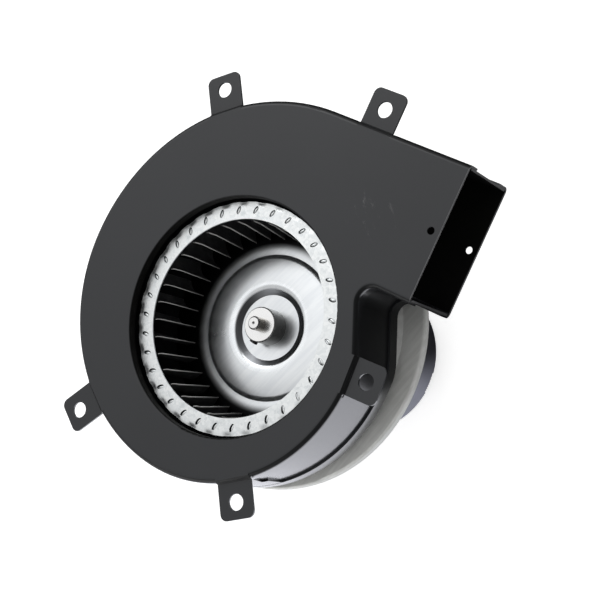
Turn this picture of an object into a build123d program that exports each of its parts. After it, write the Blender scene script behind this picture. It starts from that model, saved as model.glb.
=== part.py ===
from build123d import *
import math
import os

# A blower motor: a single-inlet centrifugal wheel in a scroll housing of folded sheet,
# driven by a round motor that hangs on a mounting plate behind the housing.
# Sizes are in millimetres. +Z is the shaft axis and points out of the inlet, +X is the way
# the air leaves. The origin is on the shaft axis, in the plane of the housing's front face.

# Housing sheet and depth
sheet = 1.2
housing_depth = 52.0
fold_r = 3.0
front_skirt = 9.0
back_skirt = 11.0
lap_gap = 0.1

# How far a cutting shape runs past the face that it cuts, and how near two sizes are the same
past = 1.0
tiny = 0.01

# Scroll outline: three tangent quarter arcs, then a straight top wall to the outlet
low_arc_r = 92.1
left_arc_r = 104.0
top_arc_r = 118.9
low_arc_x = -7.0
low_arc_y = -4.1
outlet_reach = 98.4
outlet_height = 78.3

# Tongue: a leaning wall between the low arc and the floor of the outlet duct
tongue_x = 72.4
tongue_y = 34.3
tongue_lean = 25.5
tongue_r = 7.8
throat_r = 30.0

# Inlet and the small screw holes beside the outlet
inlet_r = 68.0
inlet_lip_depth = 5.0
inlet_bend_r = 1.0
outlet_hole_r = 2.15
outlet_hole_inset = 5.4

# Fixing ears of the front cover: a joggle sets each one down from the front face. An ear's hole
# stands out from the scroll's wall, and its tip stands out from the hole.
ear_width = 21.5
ear_drop = 2.5
ear_corner_r = 4.0
ear_hole_r = 4.55
joggle_start = 2.0
joggle_run = 2.2
joggle_root = 4.5
ear_relief_r = 1.1
upper_left_ear_angle = 125.3
upper_left_hole_out = 12.6
upper_left_tip_out = 9.1
top_ear_x = 36.2
top_hole_out = 10.6
top_tip_out = 10.8
lower_left_ear_angle = 237.1
lower_left_hole_out = 13.2
lower_left_tip_out = 9.3
bottom_ear_angle = -54.9
bottom_hole_out = 11.1
bottom_tip_out = 9.4
right_ear_angle = 3.5
right_hole_out = 9.0
right_tip_out = 9.6

# Lap seam of the wrapper's strip, between the covers' skirts and behind the bottom ear
lap_angle = -50.0
lap_length = 26.0
lap_nick = 3.2
lap_nick_height = 1.5
lap_side_gap = 0.5

# Motor plate
plate_sheet = 1.2
plate_r = 93.3
plate_land_r = 75.5
plate_step_run = 4.5
plate_set_back = 5.6
plate_rim_depth = 5.4
plate_corner_r = 1.5
plate_pilot_r = 16.0
back_opening_r = 50.0
plate_screw_count = 6
plate_screw_ring_r = 60.0
plate_screw_r = 1.75
plate_screw_tip = 1.2
screw_head_r = 3.4
screw_head_height = 2.1
screw_head_bevel = 0.7
screw_gap = 0.15

# Wheel
wheel_r = 66.7
wheel_eye_r = 56.5
wheel_front_gap = 2.7
wheel_back_gap = 3.5
wheel_ring_sheet = 0.8
wheel_disc_sheet = 0.9
blade_count = 34
blade_sheet = 0.6
blade_inner_r = 57.3
blade_outer_r = 66.0
blade_sweep = 4.0
blade_curve_r = 8.0
blade_tab_inset = 1.9
blade_tab_proud = 0.5
tab_gap = 0.08
disc_well_r = 19.6
disc_well_top_r = 24.6
disc_rise = 4.6
disc_fall_r = 42.0
disc_fall_rise = 3.0
disc_bead_r = 43.6
disc_bead_rise = 1.4

# Hub, shaft and set screw
shaft_r = 3.97
shaft_proud = 6.6
shaft_chamfer = 0.8
shaft_centre_r = 0.9
hub_r = 10.4
hub_height = 13.4
hub_chamfer = 0.6
hub_neck_r = 7.5
hub_swage_r = 9.6
hub_swage_height = 1.4
hub_bore_gap = 0.02
set_screw_r = 2.4
set_screw_drop = 5.2
set_screw_proud = 1.4
set_screw_angle = -100.0
set_screw_socket_r = 1.3
set_screw_socket_depth = 2.0

# Motor casing
motor_r = 49.5
motor_length = 122.8
bell_sheet = 1.6
shell_sheet = 1.4
front_bell_depth = 22.0
rear_bell_depth = 20.0
rear_corner_r = 5.0
spigot_length = 4.0
spigot_gap = 0.05
pilot_height = 1.2
pilot_gap = 0.1

# Bearings in the bells
bearing_gap = 0.03
bearing_r = 8.0
bearing_length = 14.0
bearing_seat_gap = 0.05
seat_wall = 3.0
felt_thickness = 2.2
felt_gap = 0.6
retainer_thickness = 0.8
retainer_bore_r = 5.2
end_play = 0.4
washer_thickness = 0.8
washer_r = 7.5
clip_thickness = 1.0
clip_r = 6.2
clip_groove = 0.6

# Stator and rotor
core_seat_gap = 0.05
stator_bore_r = 26.0
air_gap = 0.4
slot_count = 18
slot_inner_r = 28.0
slot_outer_r = 38.5
slot_inner_width = 4.6
slot_outer_width = 7.6
slot_mouth = 2.2
winding_gap = 0.2
winding_overhang = 12.0
winding_bevel = 3.0
end_ring_inner_r = 15.0
end_ring_inset = 1.0
end_ring_height = 6.0
fan_count = 8
fan_height = 7.0
fan_thickness = 1.6
core_bore_gap = 0.02

# Through bolts that clamp the bells and hang the motor on the plate
bolt_count = 4
bolt_ring_r = 43.0
bolt_r = 2.0
bolt_gap = 0.2
bolt_head_r = 3.6
bolt_head_height = 2.6
bolt_head_bevel = 0.8
bolt_start_angle = 2.7
pocket_r = 9.0
pocket_depth = 5.0
pocket_floor = 2.4
nut_across = 7.0
nut_height = 3.2
bolt_end_proud = 0.8

# Grommet for the motor leads
grommet_angle = 200.0
grommet_side_gap = 1.2
grommet_r = 7.0
grommet_neck_r = 4.6
grommet_bore_r = 2.6
grommet_stand = 2.2

# Places worked out from the sizes above
left_arc_y = low_arc_y + left_arc_r - low_arc_r
top_arc_x = low_arc_x + top_arc_r - left_arc_r
top_wall_y = left_arc_y + top_arc_r
duct_floor_y = top_wall_y - outlet_height
outlet_middle_y = (top_wall_y + duct_floor_y) / 2
outlet_hole_x = outlet_reach - outlet_hole_inset
wheel_front_z = -inlet_lip_depth - wheel_front_gap
wheel_rim_z = -housing_depth + sheet + wheel_back_gap + wheel_disc_sheet
disc_top_z = wheel_rim_z + disc_rise
disc_fall_z = wheel_rim_z + disc_fall_rise
disc_bead_z = wheel_rim_z + disc_bead_rise
disc_rear_z = wheel_rim_z - wheel_disc_sheet
hub_front_z = wheel_rim_z + hub_height
shaft_front_z = hub_front_z + shaft_proud
plate_rear_z = -housing_depth - plate_sheet
motor_rear_z = plate_rear_z - motor_length
shell_front_z = plate_rear_z - front_bell_depth
shell_rear_z = motor_rear_z + rear_bell_depth
shell_bore_r = motor_r - shell_sheet
front_seat_z = plate_rear_z - bell_sheet - felt_thickness
rear_seat_z = motor_rear_z + bell_sheet + felt_thickness
front_retainer_z = front_seat_z - bearing_length
rear_retainer_z = rear_seat_z + bearing_length
grommet_z = shell_rear_z + spigot_length + grommet_side_gap + grommet_r
core_rear_z = grommet_z + grommet_r + grommet_side_gap
core_front_z = shell_front_z - (core_rear_z - shell_rear_z)
core_length = core_front_z - core_rear_z
rotor_r = stator_bore_r - air_gap
pocket_floor_z = motor_rear_z + pocket_depth

# Each ear: the middle of the wall's arc that carries it, that arc's radius, the ear's direction,
# the distance of its hole from the wall, and of its tip from the hole
ears = {
    "upper_left": (
        (top_arc_x, left_arc_y, top_arc_r),
        (upper_left_ear_angle, upper_left_hole_out, upper_left_tip_out),
    ),
    "top": (
        (top_ear_x, left_arc_y, top_arc_r),
        (90, top_hole_out, top_tip_out),
    ),
    "lower_left": (
        (low_arc_x, left_arc_y, left_arc_r),
        (lower_left_ear_angle, lower_left_hole_out, lower_left_tip_out),
    ),
    "bottom": (
        (low_arc_x, low_arc_y, low_arc_r),
        (bottom_ear_angle, bottom_hole_out, bottom_tip_out),
    ),
    "right": (
        (low_arc_x, low_arc_y, low_arc_r),
        (right_ear_angle, right_hole_out, right_tip_out),
    ),
}


def polar(radius, degrees, z=0.0):
    return (radius * math.cos(math.radians(degrees)), radius * math.sin(math.radians(degrees)), z)


def rod(radius, z_low, z_high):
    return Pos(0, 0, z_low) * extrude(Circle(radius), z_high - z_low)


def tube(outer_r, inner_r, z_low, z_high):
    return rod(outer_r, z_low, z_high) - rod(inner_r, z_low - past, z_high + past)


def turned(points):
    """A ring turned about the shaft axis from (radius, height) points."""
    section = make_face(Polyline([(radius, 0, z) for radius, z in points], close=True))
    return revolve(section, Axis.Z)


def around(piece, count, start=0.0):
    """Copies of a piece, evenly spaced about the shaft axis."""
    return [Rot(0, 0, start + 360 * turn / count) * piece for turn in range(count)]


def write(name, *pieces):
    solids = [solid for piece in pieces for solid in piece.solids()]
    export_step(solids[0] if len(solids) == 1 else Compound(children=solids), f"parts/{name}.step")


def scroll_face(inset, reach):
    """The scroll's outline, moved inwards by inset, with its duct cut off at reach."""
    low_r = low_arc_r - inset
    left_r = left_arc_r - inset
    top_r = top_arc_r - inset
    floor_y = duct_floor_y + inset
    lean = math.radians(tongue_lean)
    line_x = tongue_x - inset * math.cos(lean)
    line_y = tongue_y - inset * math.sin(lean)
    to_floor = (floor_y - line_y) / math.cos(lean)
    corner = (line_x - to_floor * math.sin(lean), floor_y)
    from_middle_x = line_x - low_arc_x
    from_middle_y = line_y - low_arc_y
    along = from_middle_y * math.cos(lean) - from_middle_x * math.sin(lean)
    short_of = from_middle_x**2 + from_middle_y**2 - low_r**2
    to_arc = -along - math.sqrt(along**2 - short_of)
    meet = (line_x - to_arc * math.sin(lean), line_y + to_arc * math.cos(lean))
    meet_angle = math.degrees(math.atan2(meet[1] - low_arc_y, meet[0] - low_arc_x))
    low_middle = polar(low_r, (meet_angle - 90) / 2)
    left_middle = polar(left_r, 225)
    top_middle = polar(top_r, 135)
    outline = [
        Line((reach, floor_y), corner),
        Line(corner, meet),
        ThreePointArc(
            meet,
            (low_arc_x + low_middle[0], low_arc_y + low_middle[1]),
            (low_arc_x, low_arc_y - low_r),
        ),
        ThreePointArc(
            (low_arc_x, low_arc_y - low_r),
            (low_arc_x + left_middle[0], left_arc_y + left_middle[1]),
            (low_arc_x - left_r, left_arc_y),
        ),
        ThreePointArc(
            (low_arc_x - left_r, left_arc_y),
            (top_arc_x + top_middle[0], left_arc_y + top_middle[1]),
            (top_arc_x, left_arc_y + top_r),
        ),
        Line((top_arc_x, left_arc_y + top_r), (reach, left_arc_y + top_r)),
        Line((reach, left_arc_y + top_r), (reach, floor_y)),
    ]
    face = make_face(outline)
    face = fillet(face.vertices().sort_by_distance((*corner, 0))[0], tongue_r + inset)
    return fillet(face.vertices().sort_by_distance((*meet, 0))[0], throat_r - inset)


def rounded_scroll(inset, reach, z_top, z_low, radius):
    """A block of the scroll's outline whose upper edge is rounded, but not at the outlet."""
    block = Pos(0, 0, z_low) * extrude(scroll_face(inset, reach), z_top - z_low)
    top_face = block.faces().sort_by(Axis.Z)[-1]
    edges = top_face.edges().filter_by(lambda edge: edge.center().X < reach - tiny)
    return fillet(edges, radius)


def pan_inside(skirt):
    """The room inside a cover, open at the skirt's free edge and at the outlet."""
    return rounded_scroll(sheet, outlet_reach + past, -sheet, -skirt - past, fold_r - sheet)


def folded_pan(skirt):
    """A cover: the flat scroll sheet with its edge folded down into a skirt."""
    return rounded_scroll(0, outlet_reach, 0, -skirt, fold_r) - pan_inside(skirt)


def ear(wall, spread):
    """One fixing ear: a tab of the front sheet, set down by a joggle at its root."""
    middle_x, middle_y, wall_r = wall
    direction, hole_out, tip_out = spread
    tip = hole_out + tip_out
    side = [
        (-joggle_root, 0),
        (-joggle_start, 0),
        (joggle_run - joggle_start, -ear_drop),
        (tip, -ear_drop),
        (tip, -ear_drop - sheet),
        (joggle_run - joggle_start, -ear_drop - sheet),
        (-joggle_start, -sheet),
        (-joggle_root, -sheet),
    ]
    section = make_face(Polyline([(x, 0, z) for x, z in side], close=True))
    tab = extrude(section, ear_width / 2, both=True)
    tab = fillet(tab.edges().filter_by(Axis.Z).sort_by(Axis.X)[-2:], ear_corner_r)
    tab -= Pos(hole_out, 0) * rod(ear_hole_r, -ear_drop - sheet - past, past)
    return Pos(middle_x, middle_y) * Rot(0, 0, direction) * Pos(wall_r, 0) * tab


def ear_reliefs(wall, spread):
    """The two small round bites in the fold, one at each root corner of an ear."""
    middle_x, middle_y, wall_r = wall
    bite = rod(ear_relief_r, -ear_drop - sheet, past)
    beside = ear_width / 2 + ear_relief_r
    pair = Pos(0, beside) * bite + Pos(0, -beside) * bite
    return Pos(middle_x, middle_y) * Rot(0, 0, spread[0]) * Pos(wall_r, 0) * pair


def make_front_cover():
    cover = folded_pan(front_skirt)
    cover -= rod(inlet_r, -sheet - past, past)
    cover += tube(inlet_r + sheet, inlet_r, -inlet_lip_depth, 0)
    mouth = cover.edges().filter_by(GeomType.CIRCLE)
    mouth = mouth.filter_by(lambda edge: abs(edge.radius - inlet_r) < tiny and edge.center().Z > -tiny)
    cover = fillet(mouth, inlet_bend_r)
    for wall, spread in ears.values():
        cover -= ear_reliefs(wall, spread)
        cover += ear(wall, spread) - pan_inside(front_skirt)
    return cover - outlet_hole(0)


def outlet_hole(z):
    """The small screw hole beside the outlet, cut through the sheet at a height."""
    return Pos(outlet_hole_x, outlet_middle_y, z) * rod(outlet_hole_r, -sheet - past, sheet + past)


def wrapper_lap():
    """The strip's outer end where it laps over itself, with a small nick in its cut edge."""
    low_z = -housing_depth + back_skirt + lap_side_gap
    high_z = -front_skirt - lap_side_gap
    nick_z = (low_z + high_z) / 2
    edge = [
        (0, low_z),
        (0, nick_z - lap_nick_height / 2),
        (-lap_nick, nick_z + lap_nick_height / 2),
        (0, high_z),
        (-lap_length, high_z),
        (-lap_length, low_z),
    ]
    inner_r = low_arc_r - sheet - lap_gap
    outline = make_face(Polyline([(0, along, z) for along, z in edge], close=True))
    block = Pos(inner_r - lap_length / 2) * extrude(outline, lap_length)
    lap = Rot(0, 0, lap_angle) * block & tube(low_arc_r - lap_gap, inner_r, low_z, high_z)
    return Pos(low_arc_x, low_arc_y) * lap


def make_scroll_wrapper():
    outer = scroll_face(sheet + lap_gap, outlet_reach)
    inner = scroll_face(2 * sheet + lap_gap, outlet_reach + past)
    band = extrude(outer, housing_depth - 2 * fold_r) - extrude(inner, housing_depth)
    return Pos(0, 0, fold_r - housing_depth) * band + wrapper_lap()


def make_back_cover():
    cover = Pos(0, 0, -housing_depth) * mirror(folded_pan(back_skirt), Plane.XY)
    cover -= rod(back_opening_r, -housing_depth - past, -housing_depth + sheet + past)
    screw_hole = Pos(plate_screw_ring_r, 0, -housing_depth) * rod(plate_screw_r, -past, sheet + past)
    for hole in around(screw_hole, plate_screw_count):
        cover -= hole
    return cover - outlet_hole(-housing_depth)


def make_motor_plate():
    front = -housing_depth
    flange = front - plate_set_back
    step_end_r = plate_land_r + plate_step_run
    slope = math.atan2(plate_set_back, plate_step_run)
    shift = plate_sheet * math.tan(slope / 2)
    plate = turned(
        [
            (plate_pilot_r + pilot_gap, front),
            (plate_land_r, front),
            (step_end_r, flange),
            (plate_r, flange),
            (plate_r, flange - plate_rim_depth),
            (plate_r - plate_sheet, flange - plate_rim_depth),
            (plate_r - plate_sheet, flange - plate_sheet),
            (step_end_r - shift, flange - plate_sheet),
            (plate_land_r - shift, front - plate_sheet),
            (plate_pilot_r + pilot_gap, front - plate_sheet),
        ]
    )
    rim = plate.edges().filter_by(GeomType.CIRCLE)
    rim = rim.filter_by(lambda edge: abs(edge.radius - plate_r) < tiny and edge.center().Z > flange - tiny)
    plate = fillet(rim, plate_corner_r)
    screw_hole = rod(plate_screw_r + screw_gap, plate_rear_z - past, front + past)
    for hole in around(Pos(plate_screw_ring_r, 0) * screw_hole, plate_screw_count):
        plate -= hole
    for hole in bolt_holes(plate_rear_z - past, front + past):
        plate -= hole
    return plate


def make_plate_screws():
    tip_z = -housing_depth + sheet + plate_screw_tip
    screw = rod(plate_screw_r, plate_rear_z, tip_z)
    head = rod(screw_head_r, plate_rear_z - screw_head_height, plate_rear_z)
    rim = head.edges().filter_by(GeomType.CIRCLE).sort_by(Axis.Z)[0]
    screw += chamfer(rim, screw_head_bevel)
    return around(Pos(plate_screw_ring_r, 0) * screw, plate_screw_count)


def blade_section(thickness, start_trim, end_trim):
    """The curved section of one blade, with some of its length taken off at each end."""
    inner = Vector(polar(blade_inner_r, 0))
    outer = Vector(polar(blade_outer_r, -blade_sweep))
    chord = outer - inner
    forward = Vector(chord.Y, -chord.X, 0).normalized()
    depth = math.sqrt(blade_curve_r**2 - (chord.length / 2) ** 2)
    middle = inner + chord * 0.5 + forward * depth
    start = math.degrees(math.atan2(inner.Y - middle.Y, inner.X - middle.X))
    end = math.degrees(math.atan2(outer.Y - middle.Y, outer.X - middle.X))
    if start - end > 180:
        end += 360
    if end - start > 180:
        start += 360
    per_mm = math.degrees(1 / blade_curve_r) * (1 if end > start else -1)
    start += start_trim * per_mm
    end -= end_trim * per_mm
    far = blade_curve_r + thickness / 2
    near = blade_curve_r - thickness / 2
    corners = [
        [middle + Vector(polar(radius, angle)) for angle in (start, (start + end) / 2, end)]
        for radius in (far, near)
    ]
    return make_face(
        [
            ThreePointArc(*corners[0]),
            Line(corners[0][2], corners[1][2]),
            ThreePointArc(corners[1][2], corners[1][1], corners[1][0]),
            Line(corners[1][0], corners[0][0]),
        ]
    )


def tab_slots(z_low, z_high):
    """The slots that the blades' tabs pass through."""
    trim = blade_tab_inset - tab_gap
    section = blade_section(blade_sheet + 2 * tab_gap, trim, trim)
    return around(Pos(0, 0, z_low) * extrude(section, z_high - z_low), blade_count)


def make_wheel_front_ring():
    ring_rear_z = wheel_front_z - wheel_ring_sheet
    ring = tube(wheel_r, wheel_eye_r, ring_rear_z, wheel_front_z)
    return ring - tab_slots(ring_rear_z - past, wheel_front_z + past)


def make_wheel_blades():
    body_low = wheel_rim_z
    body_high = wheel_front_z - wheel_ring_sheet
    tab_low = disc_rear_z - blade_tab_proud
    tab_high = wheel_front_z + blade_tab_proud
    blade = Pos(0, 0, body_low) * extrude(blade_section(blade_sheet, 0, 0), body_high - body_low)
    tab_section = blade_section(blade_sheet, blade_tab_inset, blade_tab_inset)
    blade += Pos(0, 0, tab_low) * extrude(tab_section, tab_high - tab_low)
    return around(blade, blade_count)


def make_wheel_back_disc():
    t = wheel_disc_sheet
    well_slope = math.atan2(disc_top_z - wheel_rim_z, disc_well_top_r - disc_well_r)
    well_shift = t * math.tan(well_slope / 2)
    front = [
        (hub_neck_r + core_bore_gap, wheel_rim_z),
        (disc_well_r, wheel_rim_z),
        (disc_well_top_r, disc_top_z),
        (disc_fall_r, disc_fall_z),
        (disc_bead_r, disc_bead_z),
        (wheel_eye_r, wheel_rim_z),
        (wheel_r, wheel_rim_z),
    ]
    rear = [
        (wheel_r, wheel_rim_z - t),
        (wheel_eye_r, wheel_rim_z - t),
        (disc_bead_r, disc_bead_z - t),
        (disc_fall_r - t / 2, disc_fall_z - t),
        (disc_well_top_r + well_shift, disc_top_z - t),
        (disc_well_r + well_shift, wheel_rim_z - t),
        (hub_neck_r + core_bore_gap, wheel_rim_z - t),
    ]
    disc = turned(front + rear)
    return disc - tab_slots(disc_rear_z - past, wheel_rim_z + past)


def set_screw_axis():
    """The place of the set screw's axis, looking outwards from the shaft."""
    return Rot(0, 0, set_screw_angle) * Pos(0, 0, hub_front_z - set_screw_drop) * Rot(0, 90, 0)


def make_wheel_hub():
    hub = rod(hub_r, wheel_rim_z, hub_front_z)
    hub = chamfer(hub.edges().filter_by(GeomType.CIRCLE).sort_by(Axis.Z)[-1], hub_chamfer)
    hub += rod(hub_neck_r, disc_rear_z, wheel_rim_z)
    hub += rod(hub_swage_r, disc_rear_z - hub_swage_height, disc_rear_z)
    hub -= rod(shaft_r + hub_bore_gap, disc_rear_z - hub_swage_height - past, hub_front_z + past)
    return hub - set_screw_axis() * rod(set_screw_r + hub_bore_gap, 0, hub_r + past)


def make_hub_set_screw():
    outer = hub_r + set_screw_proud
    screw = rod(set_screw_r, shaft_r + hub_bore_gap, outer)
    socket = extrude(RegularPolygon(set_screw_socket_r, 6), set_screw_socket_depth + past)
    screw -= Pos(0, 0, outer - set_screw_socket_depth) * socket
    shaft_room = rod(shaft_r + hub_bore_gap, hub_front_z - 2 * set_screw_drop, hub_front_z)
    return set_screw_axis() * screw - shaft_room


def make_shaft():
    shaft = rod(shaft_r, rear_seat_z + end_play, shaft_front_z)
    ends = shaft.edges().filter_by(GeomType.CIRCLE)
    shaft = chamfer(ends, shaft_chamfer)
    centre = Pos(0, 0, shaft_front_z - shaft_centre_r / 2)
    shaft -= centre * Cone(0, shaft_centre_r, shaft_centre_r)
    for z_low in clip_places():
        shaft -= tube(shaft_r + past, shaft_r - clip_groove, z_low, z_low + clip_thickness)
    return shaft


def washer_places():
    """The lower faces of the two thrust washers."""
    front = front_retainer_z - retainer_thickness - end_play - washer_thickness
    rear = rear_retainer_z + retainer_thickness + end_play
    return (front, rear)


def clip_places():
    """The lower faces of the two retaining clips."""
    front, rear = washer_places()
    return (front - clip_thickness, rear + washer_thickness)


def make_thrust_washers():
    return [tube(washer_r, shaft_r + core_bore_gap, z, z + washer_thickness) for z in washer_places()]


def make_shaft_clips():
    mouth = Pos(clip_r, 0) * Box(2 * clip_r, shaft_r, 4 * motor_length)
    return [tube(clip_r, shaft_r - clip_groove, z, z + clip_thickness) - mouth for z in clip_places()]


def bolt_holes(z_low, z_high):
    hole = Pos(bolt_ring_r, 0) * rod(bolt_r + bolt_gap, z_low, z_high)
    return around(hole, bolt_count, bolt_start_angle)


def make_front_bell():
    rear_z = shell_front_z
    bell = tube(motor_r, motor_r - bell_sheet, rear_z, plate_rear_z)
    bell += rod(motor_r, plate_rear_z - bell_sheet, plate_rear_z)
    bell += rod(plate_pilot_r, plate_rear_z - bell_sheet, -housing_depth + pilot_height)
    spigot_r = shell_bore_r - spigot_gap
    bell += tube(spigot_r, spigot_r - bell_sheet, rear_z - spigot_length, plate_rear_z - bell_sheet)
    bell += rod(bearing_r + seat_wall, front_retainer_z, plate_rear_z)
    bell -= rod(bearing_r + bearing_seat_gap, front_retainer_z - past, plate_rear_z - bell_sheet)
    bell -= rod(retainer_bore_r, plate_rear_z - bell_sheet - past, 0)
    for hole in bolt_holes(plate_rear_z - bell_sheet - past, 0):
        bell -= hole
    return bell


def make_rear_bell():
    envelope = rod(motor_r, motor_rear_z, shell_rear_z)
    envelope = fillet(envelope.edges().filter_by(GeomType.CIRCLE).sort_by(Axis.Z)[0], rear_corner_r)
    hollow = rod(motor_r - bell_sheet, motor_rear_z + bell_sheet, shell_rear_z)
    round_edge = hollow.edges().filter_by(GeomType.CIRCLE).sort_by(Axis.Z)[0]
    hollow = chamfer(round_edge, rear_corner_r - bell_sheet)
    pocket_top_z = pocket_floor_z + pocket_floor
    pocket = Pos(bolt_ring_r, 0) * rod(pocket_r, motor_rear_z - past, pocket_floor_z)
    land = Pos(bolt_ring_r, 0) * rod(pocket_r + bell_sheet, motor_rear_z, pocket_top_z)
    bell = envelope - hollow
    for turn in around(land, bolt_count, bolt_start_angle):
        bell += turn & envelope
    for turn in around(pocket, bolt_count, bolt_start_angle):
        bell -= turn
    spigot_r = shell_bore_r - spigot_gap
    bell += tube(spigot_r, spigot_r - bell_sheet, pocket_top_z, shell_rear_z + spigot_length)
    bell += rod(bearing_r + seat_wall, motor_rear_z, rear_retainer_z)
    bell -= rod(bearing_r + bearing_seat_gap, motor_rear_z + bell_sheet, rear_retainer_z + past)
    for hole in bolt_holes(pocket_floor_z - past, pocket_top_z + past):
        bell -= hole
    return bell


def grommet_axis():
    return Rot(0, 0, grommet_angle) * Pos(0, 0, grommet_z) * Rot(0, 90, 0)


def make_motor_shell():
    shell = tube(motor_r, shell_bore_r, shell_rear_z, shell_front_z)
    return shell - grommet_axis() * rod(grommet_neck_r + screw_gap, shell_bore_r - past, motor_r + past)


def make_lead_grommet():
    inner = shell_bore_r - grommet_stand
    outer = motor_r + grommet_stand
    flanges = grommet_axis() * rod(grommet_r, inner, outer)
    flanges -= tube(motor_r + lap_gap, shell_bore_r - lap_gap, motor_rear_z, shell_front_z)
    neck = grommet_axis() * rod(grommet_neck_r, inner, outer)
    return flanges + neck - grommet_axis() * rod(grommet_bore_r, inner - past, outer + past)


def slot_shape(gap):
    """One stator slot, drawn on the +X side, made smaller all round by gap."""
    inner_half = slot_inner_width / 2 - gap
    outer_half = slot_outer_width / 2 - gap
    inner_x = slot_inner_r + gap
    outer_x = slot_outer_r - gap
    corners = [(inner_x, -inner_half), (outer_x, -outer_half), (outer_x, outer_half), (inner_x, inner_half)]
    return make_face(Polyline(corners, close=True))


def make_stator_core():
    mouth_depth = slot_inner_r - stator_bore_r + 2 * past
    mouth = Pos((stator_bore_r + slot_inner_r) / 2, 0) * Rectangle(mouth_depth, slot_mouth)
    slot = slot_shape(0) + mouth
    lamination = Circle(shell_bore_r - core_seat_gap) - Circle(stator_bore_r)
    lamination -= around(slot, slot_count)
    lamination -= around(Pos(bolt_ring_r, 0) * Circle(bolt_r + bolt_gap), bolt_count, bolt_start_angle)
    return Pos(0, 0, core_rear_z) * extrude(lamination, core_length)


def make_stator_windings():
    leg = Pos(0, 0, core_rear_z - past) * extrude(slot_shape(winding_gap), core_length + 2 * past)
    coil_outer = slot_outer_r - winding_gap
    coil_inner = slot_inner_r + winding_gap
    low = tube(coil_outer, coil_inner, core_rear_z - winding_overhang, core_rear_z - winding_gap)
    high = tube(coil_outer, coil_inner, core_front_z + winding_gap, core_front_z + winding_overhang)
    low = chamfer(low.edges().filter_by(GeomType.CIRCLE).sort_by(Axis.Z)[:2], winding_bevel)
    high = chamfer(high.edges().filter_by(GeomType.CIRCLE).sort_by(Axis.Z)[-2:], winding_bevel)
    return low + high + around(leg, slot_count)


def make_rotor_core():
    return tube(rotor_r, shaft_r + core_bore_gap, core_rear_z, core_front_z)


def end_ring(z_face, up):
    """One cast end ring with fan blades, standing up or down from the core's end face."""
    outer_r = rotor_r - end_ring_inset
    ring = tube(outer_r, end_ring_inner_r, 0, end_ring_height)
    blade = Pos((outer_r + end_ring_inner_r) / 2, 0) * Rectangle(outer_r - end_ring_inner_r, fan_thickness)
    blade = Pos(0, 0, end_ring_height) * extrude(blade, fan_height)
    ring_room = tube(outer_r, end_ring_inner_r, 0, end_ring_height + fan_height)
    ring = ring + [turn & ring_room for turn in around(blade, fan_count)]
    if not up:
        ring = mirror(ring, Plane.XY)
    return Pos(0, 0, z_face) * ring


def make_rotor_end_rings():
    return [end_ring(core_front_z, True), end_ring(core_rear_z, False)]


def make_bearing(z_low):
    sleeve = tube(bearing_r, shaft_r + bearing_gap, z_low, z_low + bearing_length)
    outside = sleeve.edges().filter_by(GeomType.CIRCLE)
    return chamfer(outside.filter_by(lambda edge: edge.radius > bearing_r - tiny), shaft_chamfer)


def make_bearing_felts():
    front = tube(bearing_r, shaft_r + felt_gap, front_seat_z, front_seat_z + felt_thickness)
    rear = tube(bearing_r, shaft_r + felt_gap, rear_seat_z - felt_thickness, rear_seat_z)
    return [front, rear]


def make_bearing_retainers():
    outer_r = bearing_r + seat_wall
    front = tube(outer_r, retainer_bore_r, front_retainer_z - retainer_thickness, front_retainer_z)
    rear = tube(outer_r, retainer_bore_r, rear_retainer_z, rear_retainer_z + retainer_thickness)
    return [front, rear]


def make_motor_bolts():
    end_z = pocket_floor_z - nut_height - bolt_end_proud
    bolt = rod(bolt_r, end_z, -housing_depth)
    head = rod(bolt_head_r, -housing_depth, -housing_depth + bolt_head_height)
    rim = head.edges().filter_by(GeomType.CIRCLE).sort_by(Axis.Z)[-1]
    bolt += chamfer(rim, bolt_head_bevel)
    return around(Pos(bolt_ring_r, 0) * bolt, bolt_count, bolt_start_angle)


def make_bolt_nuts():
    nut = extrude(RegularPolygon(nut_across / 2, 6, major_radius=False), -nut_height)
    nut = Pos(bolt_ring_r, 0, pocket_floor_z) * nut
    nut -= Pos(bolt_ring_r, 0) * rod(bolt_r + core_bore_gap, motor_rear_z, pocket_floor_z + past)
    return around(nut, bolt_count, bolt_start_angle)


os.makedirs("parts", exist_ok=True)
write("front_cover", make_front_cover())
write("scroll_wrapper", make_scroll_wrapper())
write("back_cover", make_back_cover())
write("motor_plate", make_motor_plate())
write("plate_screws", *make_plate_screws())
write("wheel_front_ring", make_wheel_front_ring())
write("wheel_blades", *make_wheel_blades())
write("wheel_back_disc", make_wheel_back_disc())
write("wheel_hub", make_wheel_hub())
write("hub_set_screw", make_hub_set_screw())
write("shaft", make_shaft())
write("thrust_washers", *make_thrust_washers())
write("shaft_clips", *make_shaft_clips())
write("front_bell", make_front_bell())
write("rear_bell", make_rear_bell())
write("motor_shell", make_motor_shell())
write("lead_grommet", make_lead_grommet())
write("stator_core", make_stator_core())
write("stator_windings", make_stator_windings())
write("rotor_core", make_rotor_core())
write("rotor_end_rings", *make_rotor_end_rings())
write("front_bearing", make_bearing(front_retainer_z))
write("rear_bearing", make_bearing(rear_seat_z))
write("bearing_felts", *make_bearing_felts())
write("bearing_retainers", *make_bearing_retainers())
write("motor_bolts", *make_motor_bolts())
write("bolt_nuts", *make_bolt_nuts())
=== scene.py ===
import bpy
import math
from mathutils import Matrix, Vector


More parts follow.
